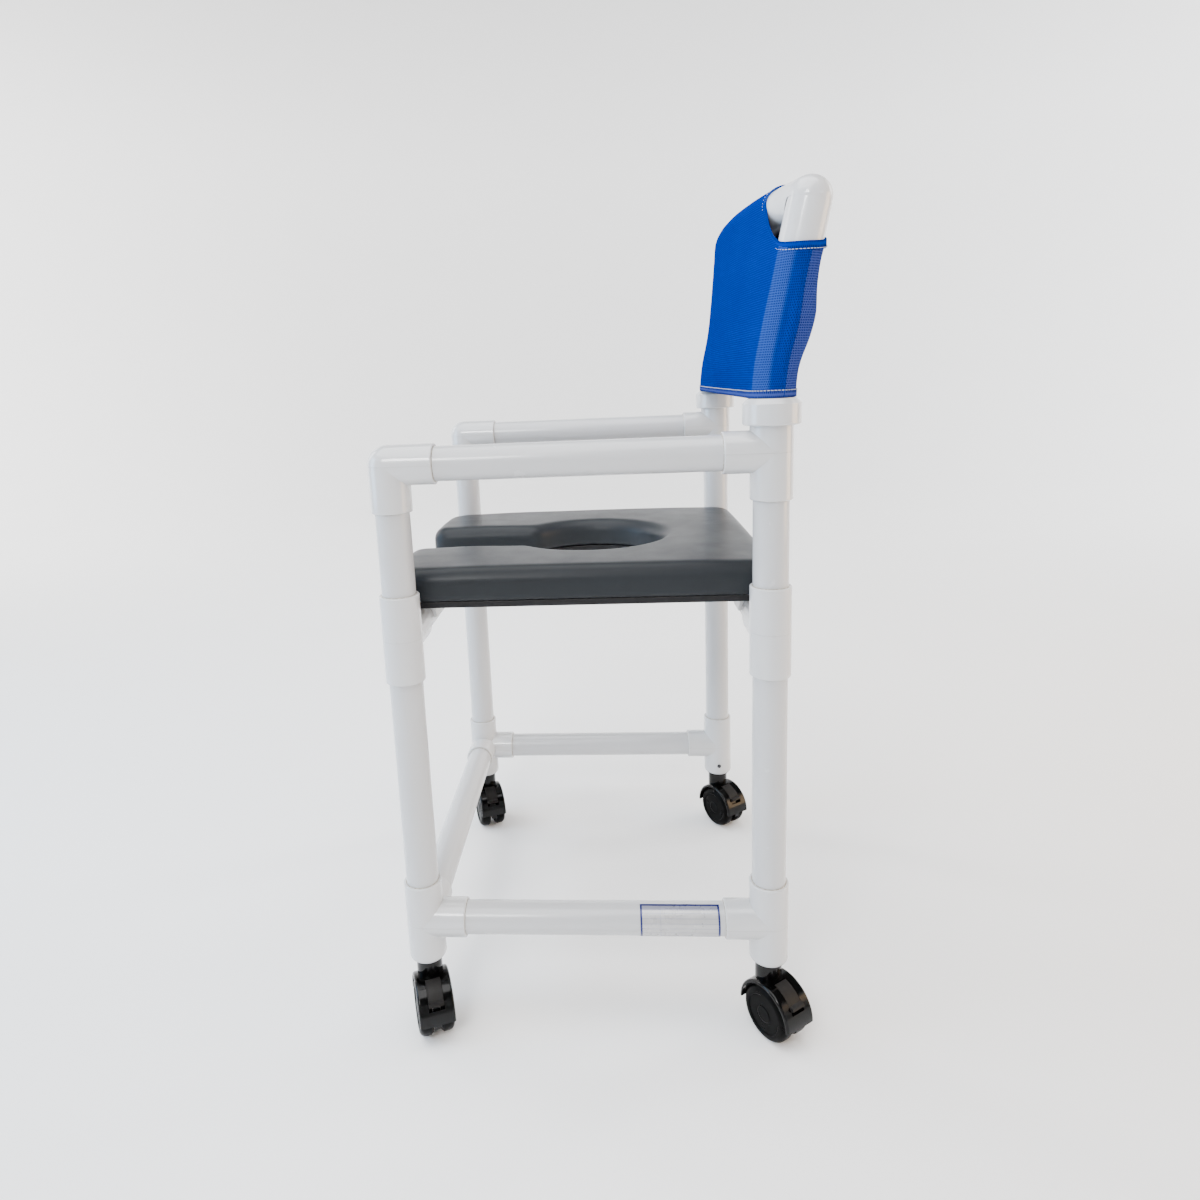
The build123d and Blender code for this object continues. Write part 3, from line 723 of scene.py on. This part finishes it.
def make_stitching(material):
    made = bmesh.new()
    bottom, cuts = hem_path()
    for run in (bottom, *cuts):
        line = [
            (at + inward * (hem_width - 1.2 * mm) + out * hem_thick, out) for at, out, inward in run
        ]
        stitched_line(made, line + [line[0]], 3.1 * mm, 0.9 * mm, 0.42 * mm)
    for side in (1, -1):
        line = [(at + out * 0.5 * mm, out) for _, at, out in seam_run(side, 60)]
        stitched_line(made, line[:5], 2.6 * mm, 1.0 * mm, 0.3 * mm)
        stitched_line(made, line[-5:], 2.6 * mm, 0.6 * mm, 0.3 * mm)
    data = finish_mesh(made, "sling_stitching")
    return new_piece("sling_stitching", data, "frame", material)


def make_side_seams(material):
    """The raised seam where the front panel's wrap is sewn to the rear panel."""
    made = bmesh.new()
    cloth = made.loops.layers.uv.new("cloth")
    profile = ((-1.8, 0.2), (-1.2, 0.95), (0.0, 1.25), (1.2, 0.95), (1.8, 0.2), (0.0, 0.1))
    for side in (1, -1):
        rows = []
        for z, at, out in seam_run(side, 70):
            along = Vector((-out.y, out.x, 0)) * side
            rows.append(([made.verts.new(at + along * a * mm + out * b * mm) for a, b in profile], z))
        for (a, za), (b, zb) in zip(rows, rows[1:]):
            for k in range(len(profile)):
                m = (k + 1) % len(profile)
                face = made.faces.new((a[k], b[k], b[m], a[m]))
                for loop, (u, v) in zip(face.loops, ((k, za), (k, zb), (k + 1, zb), (k + 1, za))):
                    loop[cloth].uv = (u * mm, v)
        made.faces.new(rows[0][0][::-1])
        made.faces.new(rows[-1][0])
    data = finish_mesh(made, "sling_side_seams")
    return new_piece("sling_side_seams", data, "frame", material)


# --- cushion --------------------------------------------------------------------------
crown_rise, crown_spread, dip_depth = 1.6 * mm, 0.05, 0.6 * mm


def make_cushion(material):
    """Moulded foam seat: the solid's outline with a slightly crowned top and soft edges."""
    source = frame["nodes"]["seat_cushion"]
    data = source.data.copy()
    data.materials.clear()
    piece = new_piece("seat_pad", data, "seat", material)
    low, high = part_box("seat_cushion")
    made = bmesh.new()
    made.from_mesh(data)
    rim = [v.co.copy() for v in made.verts if v.co.z < low.z + 1 * mm]
    made.free()
    remesh = piece.modifiers.new("even_mesh", "REMESH")
    remesh.mode, remesh.voxel_size, remesh.use_smooth_shade = "VOXEL", 3.2 * mm, True
    smooth = piece.modifiers.new("soften", "SMOOTH")
    smooth.factor, smooth.iterations = 0.5, 6
    apply_modifiers(piece)
    tree = KDTree(len(rim))
    for i, v in enumerate(rim):
        tree.insert((v.x, v.y, 0), i)
    tree.balance()
    for v in piece.data.vertices:
        away = tree.find((v.co.x, v.co.y, 0))[2]
        share = (v.co.z - low.z) / (high.z - low.z)
        if share > 0.5:
            crown = crown_rise * (1 - math.exp(-(away / crown_spread) ** 2))
            dip = dip_depth * noise.noise(Vector((v.co.x * 7, v.co.y * 7, 0)))
            v.co.z += (crown + dip) * (share - 0.5) * 2
    return piece


def apply_modifiers(piece):
    graph = bpy.context.evaluated_depsgraph_get()
    result = bpy.data.meshes.new_from_object(piece.evaluated_get(graph))
    old = piece.data
    piece.modifiers.clear()
    piece.data = result
    bpy.data.meshes.remove(old)
    for face in piece.data.polygons:
        face.use_smooth = True


# --- materials onto the CAD nodes -----------------------------------------------------
def grey(value):
    return (value, value, value)


materials = {
    "pipe_pvc": pipe_material(),
    "fitting_pvc": fitting_material(),
    "back_pvc": back_pipe_material(),
    "cushion_skin": cushion_material(),
    "board": board_material(),
    "clip_plastic": clip_material(),
    "screw_steel": steel_material("screw_steel", (0.07, 0.07, 0.075)),
    "pin_steel": steel_material("pin_steel", (0.55, 0.55, 0.56)),
    "socket_plastic": black_material("socket_plastic", grey(0.002), grey(0.004), 0.3, 0.5, 0.2),
    "caster_hood": black_material(
        "caster_hood", (0.0006, 0.0006, 0.0007), grey(0.0015), 0.08, 0.18, 0.25
    ),
    "pedal_plastic": black_material(
        "pedal_plastic", (0.0075, 0.0068, 0.0064), (0.011, 0.010, 0.0094), 0.42, 0.6, 0.2
    ),
    "wheel_tread": black_material("wheel_tread", grey(0.0008), grey(0.002), 0.25, 0.45, 0.05),
    "label_foil": label_material(),
}


back_pieces = ("left_back_post", "right_back_post", "back_top_bar", "back_corner_elbows")


def dress_nodes():
    """Gives each CAD node its material; the back's bigger pipes get a glossier one of their own."""
    slots = {row["node"]: row["material_slot"] for row in frame["record"]["subparts"]}
    for name, node in frame["nodes"].items():
        slot = slots[name]
        if name in back_pieces:
            slot = "back_pvc"
        if slot == "sling_mesh":
            continue
        node.data.materials.clear()
        node.data.materials.append(materials[slot])


# --- stage ----------------------------------------------------------------------------
def make_stage():
    """Round pale floor that curves up into a plain backdrop."""
    shade = Shade("studio_floor", 0.9)
    shade.colour(shade.mix(shade.noise(3.0, 2.0), (0.93, 0.93, 0.93), (0.95, 0.95, 0.95)))
    made = bmesh.new()
    flat, curve = 4.5, 3.0
    profile = [(0.02, 0), (1.5, 0), (3, 0), (flat, 0)]
    turns = [math.pi / 2 * k / 16 for k in range(1, 17)]
    profile += [(flat + curve * math.sin(t), curve * (1 - math.cos(t))) for t in turns]
    profile += [(flat + curve, 6.0)]
    around = 96
    angles = [2 * math.pi * i / around for i in range(around)]
    rings = [
        [made.verts.new((r * math.cos(a), r * math.sin(a), z)) for a in angles] for r, z in profile
    ]
    for low, high in zip(rings, rings[1:]):
        for i in range(around):
            j = (i + 1) % around
            made.faces.new((low[i], low[j], high[j], high[i]))
    made.faces.new(rings[0])
    data = finish_mesh(made, "studio_floor")
    for face in data.polygons:
        face.use_smooth = True
    floor = bpy.data.objects.new("studio_floor", data)
    bpy.context.scene.collection.objects.link(floor)
    data.materials.append(shade.material)


def area_light(name, place, aim, size, power, tint):
    data = bpy.data.lights.new(name, "AREA")
    data.shape, data.size, data.size_y = "RECTANGLE", size[0], size[1]
    data.energy, data.color = power, tint
    light = bpy.data.objects.new(name, data)
    bpy.context.scene.collection.objects.link(light)
    light.location = place
    light.rotation_euler = (Vector(aim) - Vector(place)).to_track_quat("-Z", "Y").to_euler()


def make_lights():
    world = bpy.data.worlds.new("studio")
    world.use_nodes = True
    background = world.node_tree.nodes["Background"]
    background.inputs["Color"].default_value = (1.0, 1.0, 1.0, 1)
    background.inputs["Strength"].default_value = 0.15
    bpy.context.scene.world = world
    middle, white = (0.0, 0.0, 0.55), (1.0, 1.0, 1.0)
    area_light("overhead", (0.6, -0.6, 4.0), (0.0, 0.0, 0.0), (4.0, 4.0), 300, white)
    area_light("window", (2.1, -0.7, 2.0), middle, (0.7, 0.5), 36, white)
    area_light("cool_side", (0.5, -2.7, 1.2), middle, (1.4, 1.8), 62, (0.42, 0.68, 1.0))
    area_light("warm_side", (0.3, 2.9, 0.9), middle, (1.4, 1.6), 54, (1.0, 0.68, 0.38))
    for side in (1, -1):
        place, aim = (-2.2, side * 4.4, 3.0), (-7.0, side * 1.2, 1.0)
        area_light("backdrop", place, aim, (2.5, 2.5), 330, white)


dress_nodes()
cloth_material = mesh_cloth_material("sling_mesh")
sling = make_sling(cloth_material)
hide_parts("back_sling")
hems = make_hems(mesh_cloth_material("sling_hem"))
stitching = make_stitching(thread_material())
side_seams = make_side_seams(cloth_material)
pad = make_cushion(materials["cushion_skin"])
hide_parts("seat_cushion")
make_glue_beads(glue_material())
make_gate_marks(materials["fitting_pvc"])
make_stage()
make_lights()
